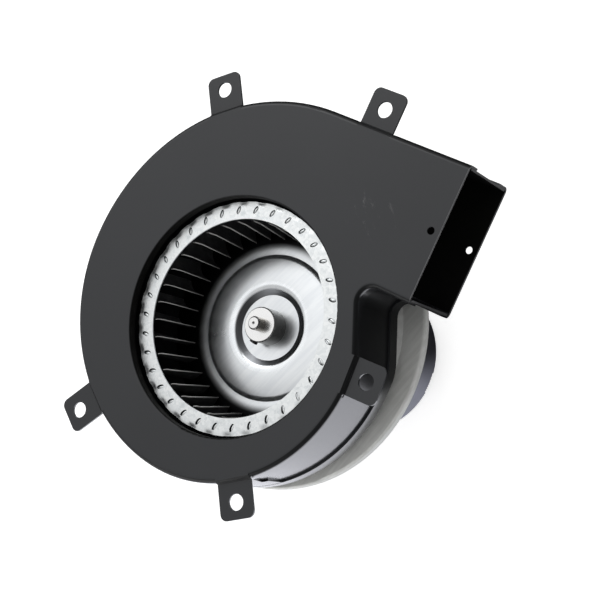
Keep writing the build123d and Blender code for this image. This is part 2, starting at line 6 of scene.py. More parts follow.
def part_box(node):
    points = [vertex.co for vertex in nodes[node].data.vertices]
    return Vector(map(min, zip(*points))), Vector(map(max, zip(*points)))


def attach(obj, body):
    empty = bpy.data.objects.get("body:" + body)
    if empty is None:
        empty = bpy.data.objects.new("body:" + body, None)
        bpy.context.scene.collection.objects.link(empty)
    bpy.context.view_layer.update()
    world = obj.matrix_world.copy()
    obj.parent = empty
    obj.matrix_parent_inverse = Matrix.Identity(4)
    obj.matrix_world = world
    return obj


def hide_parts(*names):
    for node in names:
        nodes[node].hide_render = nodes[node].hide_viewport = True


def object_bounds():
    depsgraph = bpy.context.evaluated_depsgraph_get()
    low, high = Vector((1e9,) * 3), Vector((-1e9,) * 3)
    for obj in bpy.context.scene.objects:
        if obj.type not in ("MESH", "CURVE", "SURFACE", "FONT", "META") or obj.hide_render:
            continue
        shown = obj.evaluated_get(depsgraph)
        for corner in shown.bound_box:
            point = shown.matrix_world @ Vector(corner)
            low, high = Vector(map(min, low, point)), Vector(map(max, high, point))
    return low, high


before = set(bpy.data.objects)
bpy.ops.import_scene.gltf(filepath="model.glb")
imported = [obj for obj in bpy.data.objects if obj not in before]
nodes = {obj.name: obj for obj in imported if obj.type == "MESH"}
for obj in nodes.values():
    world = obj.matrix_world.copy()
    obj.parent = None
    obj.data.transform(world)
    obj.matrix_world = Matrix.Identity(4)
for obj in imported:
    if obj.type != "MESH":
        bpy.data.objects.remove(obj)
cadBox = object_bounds()
mm = 0.001


# shader helpers: a number that changes over a surface, and a material that is built from nodes
class Num:
    def __init__(self, finish, socket):
        self.finish = finish
        self.socket = socket

    def maths(self, operation, first, second=0.0):
        return self.finish.add("ShaderNodeMath", {"operation": operation}, {0: first, 1: second})

    def __add__(self, other):
        return self.maths("ADD", self, other)

    __radd__ = __add__

    def __sub__(self, other):
        return self.maths("SUBTRACT", self, other)

    def __rsub__(self, other):
        return self.maths("SUBTRACT", other, self)

    def __mul__(self, other):
        return self.maths("MULTIPLY", self, other)

    __rmul__ = __mul__

    def __truediv__(self, other):
        return self.maths("DIVIDE", self, other)

    def __pow__(self, other):
        return self.maths("POWER", self, other)

    def __abs__(self):
        return self.maths("ABSOLUTE", self)

    # 0 below low, 1 above high, smooth in between
    def step(self, low, high):
        settings = {"interpolation_type": "SMOOTHSTEP"}
        return self.finish.add("ShaderNodeMapRange", settings, {0: self, 1: low, 2: high})


# distance from the shaft axis
def fromShaft(x, y):
    return (x * x + y * y) ** 0.5


def inMetres(lengths):
    return [length * mm for length in lengths]


class NodeTree:
    def __init__(self, data, shader, place):
        self.data = data
        data.use_nodes = True
        self.nodes = data.node_tree.nodes
        self.links = data.node_tree.links
        self.shader = self.nodes[shader]
        self.place = self.add("ShaderNodeTexCoord", {}, {}, place)

    def fill(self, socket, value):
        if isinstance(value, Num):
            self.links.new(value.socket, socket)
        else:
            socket.default_value = value

    def add(self, kind, settings, values, out=0):
        node = self.nodes.new(kind)
        for name, value in settings.items():
            setattr(node, name, value)
        for name, value in values.items():
            self.fill(node.inputs[name], value)
        return Num(self, node.outputs[out])

    def xyz(self):
        node = self.add("ShaderNodeSeparateXYZ", {}, {0: self.place})
        outputs = node.socket.node.outputs
        return [Num(self, outputs[axis]) for axis in range(3)]

    # the place turned about the shaft axis by an angle in degrees, then stretched
    def stretched(self, scale, angle=0.0):
        back = (0, 0, math.radians(-angle))
        turned = self.add("ShaderNodeMapping", {}, {"Vector": self.place, "Rotation": back})
        return self.add("ShaderNodeMapping", {}, {"Vector": turned, "Scale": scale})

    def noise(self, scale, detail, rough, place=None):
        values = {"Scale": scale, "Detail": detail, "Roughness": rough}
        values["Vector"] = place or self.place
        return self.add("ShaderNodeTexNoise", {}, values)

    def distance(self, spot):
        settings = {"operation": "DISTANCE"}
        return self.add("ShaderNodeVectorMath", settings, {0: self.place, 1: spot}, "Value")

    def facing(self, axis):
        node = self.add("ShaderNodeNewGeometry", {}, {}, "Normal")
        parts = self.add("ShaderNodeSeparateXYZ", {}, {0: node})
        return Num(self, parts.socket.node.outputs[axis])

    def blend(self, factor, first, second):
        settings = {"data_type": "RGBA"}
        return self.add("ShaderNodeMix", settings, {0: factor, 6: first, 7: second}, 2)

    def surface(self, values):
        for name, value in values.items():
            self.fill(self.shader.inputs[name], value)
        return self


class Finish(NodeTree):
    def __init__(self, name, slot):
        super().__init__(bpy.data.materials.new(name), "Principled BSDF", "Object")
        self.slot = slot

    def bump(self, height, distance, strength=1.0):
        values = {"Height": height, "Distance": distance, "Strength": strength}
        return self.add("ShaderNodeBump", {}, values)

    # a second shader, which shows where the mask is 1
    def cover(self, mask, values):
        first = Num(self, self.shader.outputs[0])
        second = self.add("ShaderNodeBsdfPrincipled", {}, values)
        mix = self.add("ShaderNodeMixShader", {}, {0: mask, 1: first, 2: second})
        self.fill(self.nodes["Material Output"].inputs["Surface"], mix)


# paint: a fine grain, soft clouds and one patch of scuffs
paintMix = {
    "scuffStretch": (1.0, 0.35, 1.0), "scuffEdges": (0.56, 0.72), "scuffCore": 0.2,
    "roughGrain": 0.08, "roughCloud": 0.05, "roughScuff": 0.1, "bump": 0.5,
}


def paintFinish(name, slot, look):
    paint = Finish(name, slot)
    grain = paint.noise(look["grainScale"], detail=4.0, rough=0.6)
    cloud = paint.noise(look["cloudScale"], detail=2.0, rough=0.5)
    drawn = paint.stretched(paintMix["scuffStretch"], look["scuffAngle"])
    streaks = paint.noise(look["scuffScale"], detail=6.0, rough=0.75, place=drawn)
    away = paint.distance(look["scuffPlace"])
    away = away.step(paintMix["scuffCore"] * look["scuffReach"], look["scuffReach"])
    scuff = streaks.step(*paintMix["scuffEdges"]) * (1 - away)
    base = paint.blend(cloud, look["dark"], look["light"])
    base = paint.blend(scuff * look["scuff"], base, look["scuffColor"])
    rough = look["rough"] + paintMix["roughGrain"] * grain
    rough = rough - paintMix["roughCloud"] * cloud + paintMix["roughScuff"] * scuff
    paint.surface({
        "Base Color": base,
        "Roughness": rough,
        "IOR": look["ior"],
        "Normal": paint.bump(grain, look["grainDepth"], paintMix["bump"]),
    })
    paint.base = base
    return paint


# satin black paint of the housing: flat faces are matt, the walls have more gloss
housingLook = {
    "grainScale": 900, "cloudScale": 14, "grainDepth": 0.00005, "wall": (0.25, 0.6),
    "dark": (0.016, 0.0172, 0.0198, 1), "light": (0.0225, 0.0242, 0.0275, 1),
    "scuff": 0.8, "scuffColor": (0.13, 0.13, 0.135, 1),
    "scuffScale": 240, "scuffAngle": 50.0, "scuffPlace": (0.057, 0.085, 0.0), "scuffReach": 0.02,
    "rough": 0.36, "ior": 1.5, "coatRough": 0.16, "coatIor": 2.2,
}
housingPaint = paintFinish("housingPaint", "housing_paint", housingLook)
upward = housingPaint.facing(2)
wallMask = 1 - abs(upward).step(*housingLook["wall"])

# the corner below the outlet: its walls get less coat, and a near-black matt cover paints shade on
# them
cornerLook = {
    "place": (0.087, 0.030, -0.032), "inner": 0.028, "outer": 0.040, "share": 0.05, "shadeStrength": 0.62,
}
fromCorner = housingPaint.distance(cornerLook["place"])
fromCorner = fromCorner.step(cornerLook["inner"], cornerLook["outer"])
glossy = cornerLook["share"] + (1 - cornerLook["share"]) * fromCorner
cornerShadeMask = cornerLook["shadeStrength"] * (1 - fromCorner) * wallMask

# bare cut edge of the sheet round the outlet, in mm
cutLook = {
    "end": 98.4, "width": (0.15, 0.3), "fromY": (49.0, 50.0), "color": (0.14, 0.14, 0.145, 1),
}
x, y, z = housingPaint.xyz()
cutEdge = 1 - abs(x - cutLook["end"] * mm).step(*inMetres(cutLook["width"]))
cutEdge = cutEdge * y.step(*inMetres(cutLook["fromY"]))
housingPaint.surface({
    "Base Color": housingPaint.blend(cutEdge, housingPaint.base, cutLook["color"]),
    "Coat Weight": wallMask * glossy,
    "Coat Roughness": housingLook["coatRough"],
    "Coat IOR": housingLook["coatIor"],
})

# painted shade: the inlet's lip, the inside of the duct and the folds are covered with a near-black
# matt shader,
# # as is the corner below the outlet; lengths in mm
paintedShadeLook = {
    "inlet": (68.9, 69.3), "lipFacing": (0.5, 0.9),
    "duct": ((46.0, 98.1), (51.7, 124.3), (-51.4, -0.6)), "ductFade": 0.1,
    "foldShare": 0.65, "foldFrom": (0.3, 0.5), "foldTo": (0.93, 0.985),
    "color": (0.004, 0.004, 0.0036, 1), "rough": 0.6, "shine": 0.1,
}
lipShade = 1 - fromShaft(x, y).step(*inMetres(paintedShadeLook["inlet"]))
lipShade = lipShade * (1 - upward.step(*paintedShadeLook["lipFacing"]))
ductShade = 1
for way, (low, high) in zip((x, y, z), paintedShadeLook["duct"]):
    after = way.step(*inMetres((low - paintedShadeLook["ductFade"], low)))
    before = 1 - way.step(*inMetres((high, high + paintedShadeLook["ductFade"])))
    ductShade = after * before * ductShade
foldShade = upward.step(*paintedShadeLook["foldFrom"]) * (1 - upward.step(*paintedShadeLook["foldTo"]))
foldShade = paintedShadeLook["foldShare"] * foldShade
housingPaint.cover(1 - (1 - lipShade) * (1 - ductShade) * (1 - foldShade) * (1 - cornerShadeMask), {
    "Base Color": paintedShadeLook["color"],
    "Roughness": paintedShadeLook["rough"],
    "Specular IOR Level": paintedShadeLook["shine"],
})

motorLook = {
    "grainScale": 500, "cloudScale": 20, "grainDepth": 0.00001,
    "dark": (0.024, 0.0245, 0.029, 1), "light": (0.034, 0.035, 0.041, 1),
    "scuff": 0.3, "scuffColor": (0.06, 0.06, 0.065, 1),
    "scuffScale": 120, "scuffAngle": 0.0, "scuffPlace": (0.0, 0.0, -0.12), "scuffReach": 0.12,
    "rough": 0.30, "ior": 2.6, "glint": (0.86, 0.87, 1.0, 1),
}
motorPaint = paintFinish("motorPaint", "motor_paint", motorLook)
# the motor's reflections are tinted bluish: a painted reflection colour
motorPaint.surface({"Specular Tint": motorLook["glint"]})


# sheet metal: bright spangle, fine lines drawn one way and a few darker stains
sheetMix = {
    "lineEdges": (0.35, 0.65), "stainEdges": (0.52, 0.75),
    "roughSpangle": 0.14, "roughLines": 0.12, "bumpSpangle": 0.4,
}


def sheetFinish(name, slot, look):
    sheet = Finish(name, slot)
    grid = {"Vector": sheet.place, "Scale": look["spangleScale"]}
    spangle = sheet.add("ShaderNodeTexVoronoi", {"feature": "F1"}, grid, "Color")
    spangle = sheet.add("ShaderNodeSeparateXYZ", {}, {0: spangle})
    drawn = sheet.stretched(look["lines"], look["lineAngle"])
    lines = sheet.noise(look["lineScale"], detail=4.0, rough=0.6, place=drawn)
    stain = sheet.noise(look["stainScale"], detail=4.0, rough=0.65)
    stain = look["stain"] * stain.step(*sheetMix["stainEdges"])
    tint = (1 - look["lineShare"]) * spangle
    tint = tint + look["lineShare"] * lines.step(*sheetMix["lineEdges"])
    base = sheet.blend(tint, look["dark"], look["light"])
    rough = look["rough"] + sheetMix["roughSpangle"] * spangle + sheetMix["roughLines"] * lines
    height = lines + sheetMix["bumpSpangle"] * spangle
    sheet.surface({
        "Base Color": sheet.blend(stain, base, look["stainColor"]),
        "Metallic": look["metal"],
        "Roughness": rough,
        "Normal": sheet.bump(height, look["depth"], look["strength"]),
    })
    return sheet


wheelLook = {
    "spangleScale": 620, "stainScale": 150,
    "lines": (1, 6, 1), "lineScale": 260, "lineAngle": 0.0, "lineShare": 0.0,
    "dark": (0.80, 0.83, 0.84, 1), "light": (0.96, 0.98, 0.98, 1),
    "stain": 0.5, "stainColor": (0.50, 0.54, 0.56, 1),
    "rough": 0.24, "depth": 0.00004, "strength": 0.5, "metal": 1.0,
}
wheelZinc = sheetFinish("wheelZinc", "wheel_zinc", wheelLook)

# the blades' faces are painted near black, as the shade inside the wheel, and their inner edges
# carry a painted
# # highlight; these edges lean in below the bend, and the highlight fades from full at the ring to
# footShare at the foot; lengths in mm
bladeLook = {
    "edge": (56.1, 56.4), "top": (-11.0, -9.0), "end": (57.2, 57.7), "endFacing": (0.5, 0.8),
    "bend": -17.4, "taper": 0.11, "fade": (-46.0, -16.0), "footShare": 0.3,
    "dark": (0.048, 0.049, 0.051, 1), "cloud": (0.078, 0.079, 0.082, 1),
    "cloudScale": 120, "cloudEdges": (0.45, 0.7),
    "bright": (0.85, 0.85, 0.83, 1), "metal": 0.35, "highlightMetal": 0.15,
    "rough": 0.5, "highlightRough": 0.3, "roughCloud": 0.1, "depth": 0.00003,
}
bladeZinc = Finish("bladeZinc", "wheel_zinc")
x, y, z = bladeZinc.xyz()
radius = fromShaft(x, y)
inward = 0 - (x * bladeZinc.facing(0) + y * bladeZinc.facing(1)) / radius
leanIn = z.maths("MAXIMUM", (bladeLook["bend"] * mm - z) * bladeLook["taper"], 0.0)
nearEdge = 1 - (radius + leanIn).step(*inMetres(bladeLook["edge"]))
nearEdge = nearEdge * (1 - z.step(*inMetres(bladeLook["top"])))
endFace = inward.step(*bladeLook["endFacing"]) * (1 - radius.step(*inMetres(bladeLook["end"])))
edgeHighlight = nearEdge + endFace * (1 - nearEdge)
shine = bladeLook["footShare"] + (1 - bladeLook["footShare"]) * z.step(*inMetres(bladeLook["fade"]))
edgeHighlight = edgeHighlight * shine
cloud = bladeZinc.noise(bladeLook["cloudScale"], detail=3.0, rough=0.6)
face = bladeZinc.blend(cloud.step(*bladeLook["cloudEdges"]), bladeLook["dark"], bladeLook["cloud"])
rough = bladeLook["rough"] - (bladeLook["rough"] - bladeLook["highlightRough"]) * edgeHighlight
bladeZinc.surface({
    "Base Color": bladeZinc.blend(edgeHighlight, face, bladeLook["bright"]),
    "Metallic": bladeLook["metal"] - (bladeLook["metal"] - bladeLook["highlightMetal"]) * edgeHighlight,
    "Roughness": rough + bladeLook["roughCloud"] * cloud,
    "Normal": bladeZinc.bump(cloud, bladeLook["depth"]),
})

plateLook = {
    "spangleScale": 420, "stainScale": 40,
    "lines": (0.08, 1, 1), "lineScale": 420, "lineAngle": 73.0, "lineShare": 0.75,
    "dark": (0.66, 0.665, 0.645, 1), "light": (0.77, 0.775, 0.755, 1),
    "stain": 0.3, "stainColor": (0.54, 0.535, 0.50, 1),
    "rough": 0.5, "depth": 0.00003, "strength": 0.4, "metal": 0.4,
}
plateZinc = sheetFinish("plateZinc", "plate_zinc", plateLook)


# round metal pieces: lathe rings about the shaft axis, soft smears, and painted shade that darkens
# the flanks
turnedMix = {"flank": (0.3, 0.8), "roughSmear": 0.15, "bump": 0.4}


def turnedFinish(name, slot, look):
    steel = Finish(name, slot)
    x, y, z = steel.xyz()
    along = steel.add("ShaderNodeCombineXYZ", {}, {0: fromShaft(x, y), 2: z})
    rings = steel.noise(look["ringScale"], detail=3.0, rough=0.7, place=along)
    smear = steel.noise(look["smearScale"], detail=3.0, rough=0.6)
    base = steel.blend(smear, look["dark"], look["light"])
    # flanks that face sideways are painted darker: painted shade
    flank = 1 - abs(steel.facing(2)).step(*turnedMix["flank"])
    steel.surface({
        "Base Color": steel.blend(flank * look["flankShade"], base, look["flankShadeColor"]),
        "Metallic": 1.0,
        "Roughness": look["rough"] + turnedMix["roughSmear"] * smear,
        "Normal": steel.bump(rings, look["depth"], turnedMix["bump"]),
    })
    return steel


hubLook = {
    "ringScale": 1400, "smearScale": 150,
    "dark": (0.90, 0.90, 0.90, 1), "light": (0.98, 0.98, 0.97, 1),
    "rough": 0.18, "depth": 0.00002, "flankShade": 0.85, "flankShadeColor": (0.09, 0.09, 0.085, 1),
}
shaftLook = {
    "ringScale": 2400, "smearScale": 220,
    "dark": (0.84, 0.84, 0.84, 1), "light": (0.95, 0.95, 0.94, 1),
    "rough": 0.16, "depth": 0.00001, "flankShade": 0.7, "flankShadeColor": (0.30, 0.27, 0.22, 1),
}
screwLook = {
    "ringScale": 3000, "smearScale": 300,
    "dark": (0.45, 0.45, 0.43, 1), "light": (0.66, 0.66, 0.64, 1),
    "rough": 0.25, "depth": 0.00001, "flankShade": 0.3, "flankShadeColor": (0.35, 0.34, 0.31, 1),
}
darkSteelLook = {
    "ringScale": 2400, "smearScale": 300,
    "dark": (0.03, 0.03, 0.033, 1), "light": (0.09, 0.09, 0.095, 1),
    "rough": 0.3, "depth": 0.00001, "flankShade": 0.2, "flankShadeColor": (0.02, 0.02, 0.02, 1),
}
bronzeLook = {
    "ringScale": 1500, "smearScale": 400,
    "dark": (0.36, 0.22, 0.1, 1), "light": (0.52, 0.34, 0.17, 1),
    "rough": 0.35, "depth": 0.00001, "flankShade": 0.3, "flankShadeColor": (0.25, 0.15, 0.07, 1),
}

# the disc is brushed one way after pressing, with a rubbed crown round the well; painted shade
# darkens it further
# # out between the blades and on the wall of the well; lengths in mm
discLook = {
    "angle": 66.0, "scale": 300, "lines": (0.06, 1.0, 1.0),
    "lineEdges": (0.35, 0.65), "lineShare": 0.6, "smearScale": 45,
    "dark": (0.83, 0.86, 0.89, 1), "light": (0.96, 0.985, 1.0, 1),
    "outerShade": (44.8, 51.0), "outerShadeColor": (0.02, 0.02, 0.021, 1),
    "wall": (26.0, 27.0), "wallFacing": (0.86, 0.95), "wallShadeColor": (0.33, 0.34, 0.36, 1),
    "crownFrom": (22.0, 23.0), "crownTo": (26.0, 27.5), "polish": 0.14,
    "rough": 0.24, "roughSmear": 0.12, "depth": 0.00004, "strength": 0.35,
}
discZinc = Finish("discZinc", "wheel_zinc")
drawn = discZinc.stretched(discLook["lines"], discLook["angle"])
brushed = discZinc.noise(discLook["scale"], detail=4.0, rough=0.65, place=drawn)
smear = discZinc.noise(discLook["smearScale"], detail=3.0, rough=0.6)
tint = discLook["lineShare"] * brushed.step(*discLook["lineEdges"])
tint = tint + (1 - discLook["lineShare"]) * smear
x, y, z = discZinc.xyz()
radius = fromShaft(x, y)
outerShade = radius.step(*inMetres(discLook["outerShade"]))
wellWallShade = 1 - discZinc.facing(2).step(*discLook["wallFacing"])
wellWallShade = wellWallShade * (1 - radius.step(*inMetres(discLook["wall"])))
crown = radius.step(*inMetres(discLook["crownFrom"]))
crown = crown * (1 - radius.step(*inMetres(discLook["crownTo"]))) * (1 - wellWallShade)
sheetColor = discZinc.blend(tint, discLook["dark"], discLook["light"])
sheetColor = discZinc.blend(wellWallShade, sheetColor, discLook["wallShadeColor"])
discZinc.surface({
    "Base Color": discZinc.blend(outerShade, sheetColor, discLook["outerShadeColor"]),
    "Metallic": 1.0,
    "Roughness": discLook["rough"] + discLook["roughSmear"] * smear - discLook["polish"] * crown,
    "Normal": discZinc.bump(brushed, discLook["depth"], discLook["strength"]),
})
hubSteel = turnedFinish("hubSteel", "hub_steel", hubLook)
shaftSteel = turnedFinish("shaftSteel", "shaft_steel", shaftLook)
screwSteel = turnedFinish("screwSteel", "screw_steel", screwLook)
darkSteel = turnedFinish("darkSteel", "black_steel", darkSteelLook)
bronze = turnedFinish("bearingBronze", "bearing_bronze", bronzeLook)


# cast, moulded, wound and pressed pieces inside the motor: two colours over a grain, which
# lies in bands where the piece is layered
grainMix = {
    "patchScale": 0.12, "grainEdges": (0.3, 0.7), "grainShare": 0.6,
    "roughGrain": 0.12, "bump": 0.6,
}


def grainFinish(name, slot, look):
    stuff = Finish(name, slot)
    layered = stuff.stretched(look["stretch"])
    grain = stuff.noise(look["scale"], detail=4.0, rough=0.6, place=layered)
    patch = stuff.noise(look["scale"] * grainMix["patchScale"], detail=3.0, rough=0.5)
    tint = grainMix["grainShare"] * grain.step(*grainMix["grainEdges"])
    tint = tint + (1 - grainMix["grainShare"]) * patch
    stuff.surface({
        "Base Color": stuff.blend(tint, look["dark"], look["light"]),
        "Metallic": look["metal"],
        "Roughness": look["rough"] + grainMix["roughGrain"] * grain,
        "Normal": stuff.bump(grain, look["depth"], grainMix["bump"]),
    })
    return stuff


lamination = grainFinish("lamination", "lamination", {
    "scale": 60, "stretch": (0.15, 0.15, 34.0),
    "dark": (0.16, 0.16, 0.175, 1), "light": (0.33, 0.33, 0.35, 1),
    "metal": 0.9, "rough": 0.38, "depth": 0.0001,
})
copperWire = grainFinish("copperWire", "copper_wire", {
    "scale": 520, "stretch": (1.0, 0.25, 2.4),
    "dark": (0.32, 0.09, 0.025, 1), "light": (0.66, 0.26, 0.09, 1),
    "metal": 0.9, "rough": 0.3, "depth": 0.0003,
})
castAluminium = grainFinish("castAluminium", "cast_aluminium", {
    "scale": 420, "stretch": (1.0, 1.0, 1.0),
    "dark": (0.52, 0.53, 0.54, 1), "light": (0.78, 0.79, 0.80, 1),
    "metal": 1.0, "rough": 0.42, "depth": 0.00008,
})
springSteel = grainFinish("springSteel", "spring_steel", {
    "scale": 700, "stretch": (1.0, 0.2, 1.0),
    "dark": (0.36, 0.36, 0.38, 1), "light": (0.56, 0.56, 0.58, 1),
    "metal": 1.0, "rough": 0.28, "depth": 0.00002,
})
oiledFelt = grainFinish("oiledFelt", "felt", {
    "scale": 1300, "stretch": (1.0, 1.0, 0.6),
    "dark": (0.36, 0.33, 0.27, 1), "light": (0.66, 0.63, 0.55, 1),
    "metal": 0.0, "rough": 0.85, "depth": 0.0003,
})
redFibre = grainFinish("redFibre", "fibre", {
    "scale": 900, "stretch": (1.0, 1.0, 3.0),
    "dark": (0.26, 0.11, 0.05, 1), "light": (0.40, 0.19, 0.10, 1),
    "metal": 0.0, "rough": 0.5, "depth": 0.00005,
})
mouldedRubber = grainFinish("mouldedRubber", "rubber", {
    "scale": 800, "stretch": (1.0, 1.0, 1.0),
    "dark": (0.018, 0.018, 0.018, 1), "light": (0.038, 0.037, 0.036, 1),
    "metal": 0.0, "rough": 0.55, "depth": 0.00006,
})
print("finishes made")


# modelling helpers: the frame's nodes stay selected after loading, so everything is let go first
weld = 0.002 * mm    # points closer than this become one
slack = 0.02 * mm    # how far a picked corner may lie from its place


def letGo():
    if bpy.context.object and bpy.context.object.mode != "OBJECT":
        bpy.ops.object.mode_set(mode="OBJECT")
    bpy.ops.object.select_all(action="DESELECT")


def only(piece):
    letGo()
    piece.select_set(True)
    bpy.context.view_layer.objects.active = piece


def edit(piece):
    only(piece)
    bpy.ops.object.mode_set(mode="EDIT")
    bpy.ops.mesh.select_all(action="DESELECT")


# selects the points of the piece in edit mode that pass a test on their place
def pick(piece, test):
    bpy.ops.object.mode_set(mode="OBJECT")
    mesh = piece.data
    for group in (mesh.vertices, mesh.edges, mesh.polygons):
        group.foreach_set("select", [False] * len(group))
    for point in mesh.vertices:
        point.select = test(point.co)
    bpy.ops.object.mode_set(mode="EDIT")
    bpy.ops.mesh.select_mode(type="VERT")


def settle(piece):
    bpy.ops.mesh.select_all(action="SELECT")
    bpy.ops.mesh.remove_doubles(threshold=weld)
    bpy.ops.mesh.normals_make_consistent(inside=False)
    bpy.ops.object.mode_set(mode="OBJECT")


def modify(piece, name, kind, settings):
    only(piece)
    modifier = piece.modifiers.new(name, kind)
    for key, value in settings.items():
        setattr(modifier, key, value)
    bpy.ops.object.modifier_apply(modifier=name)


def smooth(piece, angle):
    only(piece)
    bpy.ops.object.shade_smooth_by_angle(angle=math.radians(angle))


# one point, pulled along a list of (radius, height) places: the start of a turned piece
def drawProfile(name, places):
    letGo()
    bpy.ops.mesh.primitive_plane_add(size=mm, location=(0, 0, 0))
    piece = bpy.context.object
    piece.name = name
    edit(piece)
    pick(piece, lambda spot: spot.x < 0 or spot.y < 0)
    bpy.ops.mesh.delete(type="VERT")
    bpy.ops.object.mode_set(mode="OBJECT")
    start = piece.data.vertices[0].co.copy()
    bpy.ops.object.mode_set(mode="EDIT")
    bpy.ops.mesh.select_all(action="SELECT")
    first = Vector((places[0][0], 0, places[0][1]))
    bpy.ops.transform.translate(value=first - start)
    for before, after in zip(places, places[1:]):
        pull = (after[0] - before[0], 0, after[1] - before[1])
        bpy.ops.mesh.extrude_region_move(TRANSFORM_OT_translate={"value": pull})
    return piece


def spinRound(piece, steps):
    bpy.ops.mesh.select_all(action="SELECT")
    bpy.ops.mesh.spin(steps=steps, angle=2 * math.pi, center=(0, 0, 0), axis=(0, 0, 1))
    settle(piece)


def roundCorner(piece, place, radius, steps=5):
    pick(piece, lambda spot: abs(spot.x - place[0]) < slack and abs(spot.z - place[1]) < slack)
    bpy.ops.mesh.bevel(offset=radius, segments=steps, affect="VERTICES", offset_type="OFFSET")


def copyRound(piece, count):
    copies = [piece]
    for turn in range(1, count):
        only(piece)
        bpy.ops.object.duplicate(linked=False)
        copy = bpy.context.object
        bpy.ops.transform.rotate(
            value=2 * math.pi * turn / count, orient_axis="Z", center_override=(0, 0, 0))
        copies.append(copy)
    letGo()
    for copy in copies:
        copy.select_set(True)
    bpy.context.view_layer.objects.active = piece
    bpy.ops.object.join()
    bpy.ops.object.transform_apply(location=True, rotation=True, scale=True)
    return piece


def wear(piece, finish, body, *replaced):
    piece.data.materials.clear()
    piece.data.materials.append(finish.data)
    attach(piece, body)
    if replaced:
        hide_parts(*replaced)


# front ring of the wheel: bright sheet with a rippled outer edge, one ripple for each blade
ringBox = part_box("wheel_front_ring")
ring = {
    "eye": 56.5, "rim": ringBox[1][0] / mm, "loops": (57.1, 58.6, 60.4, 62.2, 63.6, 64.7, 65.7),
    "blades": 34, "perBlade": 12, "sheet": 0.8, "crease": 50,
    "ripple": 0.45, "rippleFrom": 65.0, "ripplePart": (0.55, 0.95), "pinch": 0.997, "soften": 0.5,
}
front = ringBox[1][2]
letGo()
bpy.ops.mesh.primitive_circle_add(
    vertices=ring["blades"] * ring["perBlade"], radius=ring["eye"] * mm, location=(0, 0, front))
wheelRing = bpy.context.object
wheelRing.name = "wheelRing"
only(wheelRing)
bpy.ops.object.transform_apply(location=True, rotation=True, scale=True)
bpy.ops.object.mode_set(mode="EDIT")
bpy.ops.mesh.select_all(action="SELECT")
inner = ring["eye"]
for reach in ring["loops"] + (ring["rim"],):
    bpy.ops.mesh.extrude_edges_move()
    bpy.ops.transform.resize(value=(reach / inner, reach / inner, 1), center_override=(0, 0, 0))
    inner = reach


def atRipple(spot):
    low, high = ring["ripplePart"]
    turn = math.degrees(math.atan2(spot.y, spot.x)) / 360 * ring["blades"]
    return math.hypot(spot.x, spot.y) > ring["rippleFrom"] * mm and low < turn % 1 < high


pick(wheelRing, atRipple)
bpy.ops.transform.translate(value=(0, 0, -ring["ripple"] * mm))
bpy.ops.transform.resize(value=(ring["pinch"], ring["pinch"], 1), center_override=(0, 0, 0))
bpy.ops.mesh.select_all(action="SELECT")
bpy.ops.mesh.vertices_smooth(factor=ring["soften"], repeat=1)
settle(wheelRing)
modify(wheelRing, "wall", "SOLIDIFY", {"thickness": ring["sheet"] * mm, "offset": -1})
smooth(wheelRing, ring["crease"])
wear(wheelRing, wheelZinc, "rotor", "wheel_front_ring")

# blades: one curved strip whose inner edge leans in to the disc and bends back at the ring, then
# a turn of copies; each corner says how far up a level lies and how far out and round it moves,
# and seat is the disc's sheet, on which the blades stand
blade = {
    "inner": 55.7, "outer": 65.8, "sweep": -4.5, "bend": 9.0, "sheet": 0.4, "steps": 7,
    "seat": 0.9, "levels": (0.0, 14.0, 25.0, 29.0, 33.0, 36.0, 37.8), "column": 0.8, "slack": 0.1,
    "corner": ((0.0, -3.2, 0.0), (14.0, -1.65, 0.0), (25.0, -0.45, 0.0), (33.0, 0.0, 0.2),
               (36.0, 0.2, 0.55), (37.8, 0.3, 1.1)),
    "phase": 1.65, "crease": 40,
}
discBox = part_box("wheel_back_disc")
foot = discBox[0][2] + blade["seat"] * mm
start = Vector((blade["inner"] * mm, 0, foot))
sweep = math.radians(blade["sweep"])
end = Vector((blade["outer"] * mm * math.cos(sweep), blade["outer"] * mm * math.sin(sweep), foot))
chord = end - start
side = Vector((chord.y, -chord.x, 0)).normalized()
depth = math.sqrt((blade["bend"] * mm) ** 2 - (chord.length / 2) ** 2)
middle = start + chord / 2 + side * depth
turn = 2 * math.asin(chord.length / 2 / (blade["bend"] * mm))
wheelBlades = drawProfile("wheelBlades", [(start.x, start.z)])
bpy.ops.mesh.select_all(action="SELECT")
bpy.ops.mesh.spin(steps=blade["steps"], angle=turn, center=middle, axis=(0, 0, 1))
bpy.ops.mesh.select_all(action="SELECT")
for low, high in zip(blade["levels"], blade["levels"][1:]):
    bpy.ops.mesh.extrude_edges_move()
    bpy.ops.transform.translate(value=(0, 0, (high - low) * mm))


def atCorner(level):
    height = foot + level * mm
    reach = (blade["inner"] + blade["column"]) * mm

    def test(spot):
        return abs(spot.z - height) < blade["slack"] * mm and math.hypot(spot.x, spot.y) < reach
    return test


for level, out, along in blade["corner"]:
    pick(wheelBlades, atCorner(level))
    bpy.ops.transform.translate(value=(out * mm, along * mm, 0))
settle(wheelBlades)
modify(wheelBlades, "wall", "SOLIDIFY", {"thickness": blade["sheet"] * mm, "offset": 0})
copyRound(wheelBlades, ring["blades"])
bpy.ops.transform.rotate(
    value=-math.radians(blade["phase"]), orient_axis="Z", center_override=(0, 0, 0))
bpy.ops.object.transform_apply(location=True, rotation=True, scale=True)
smooth(wheelBlades, blade["crease"])
wear(wheelBlades, bladeZinc, "rotor", "wheel_blades")
print("wheel made")


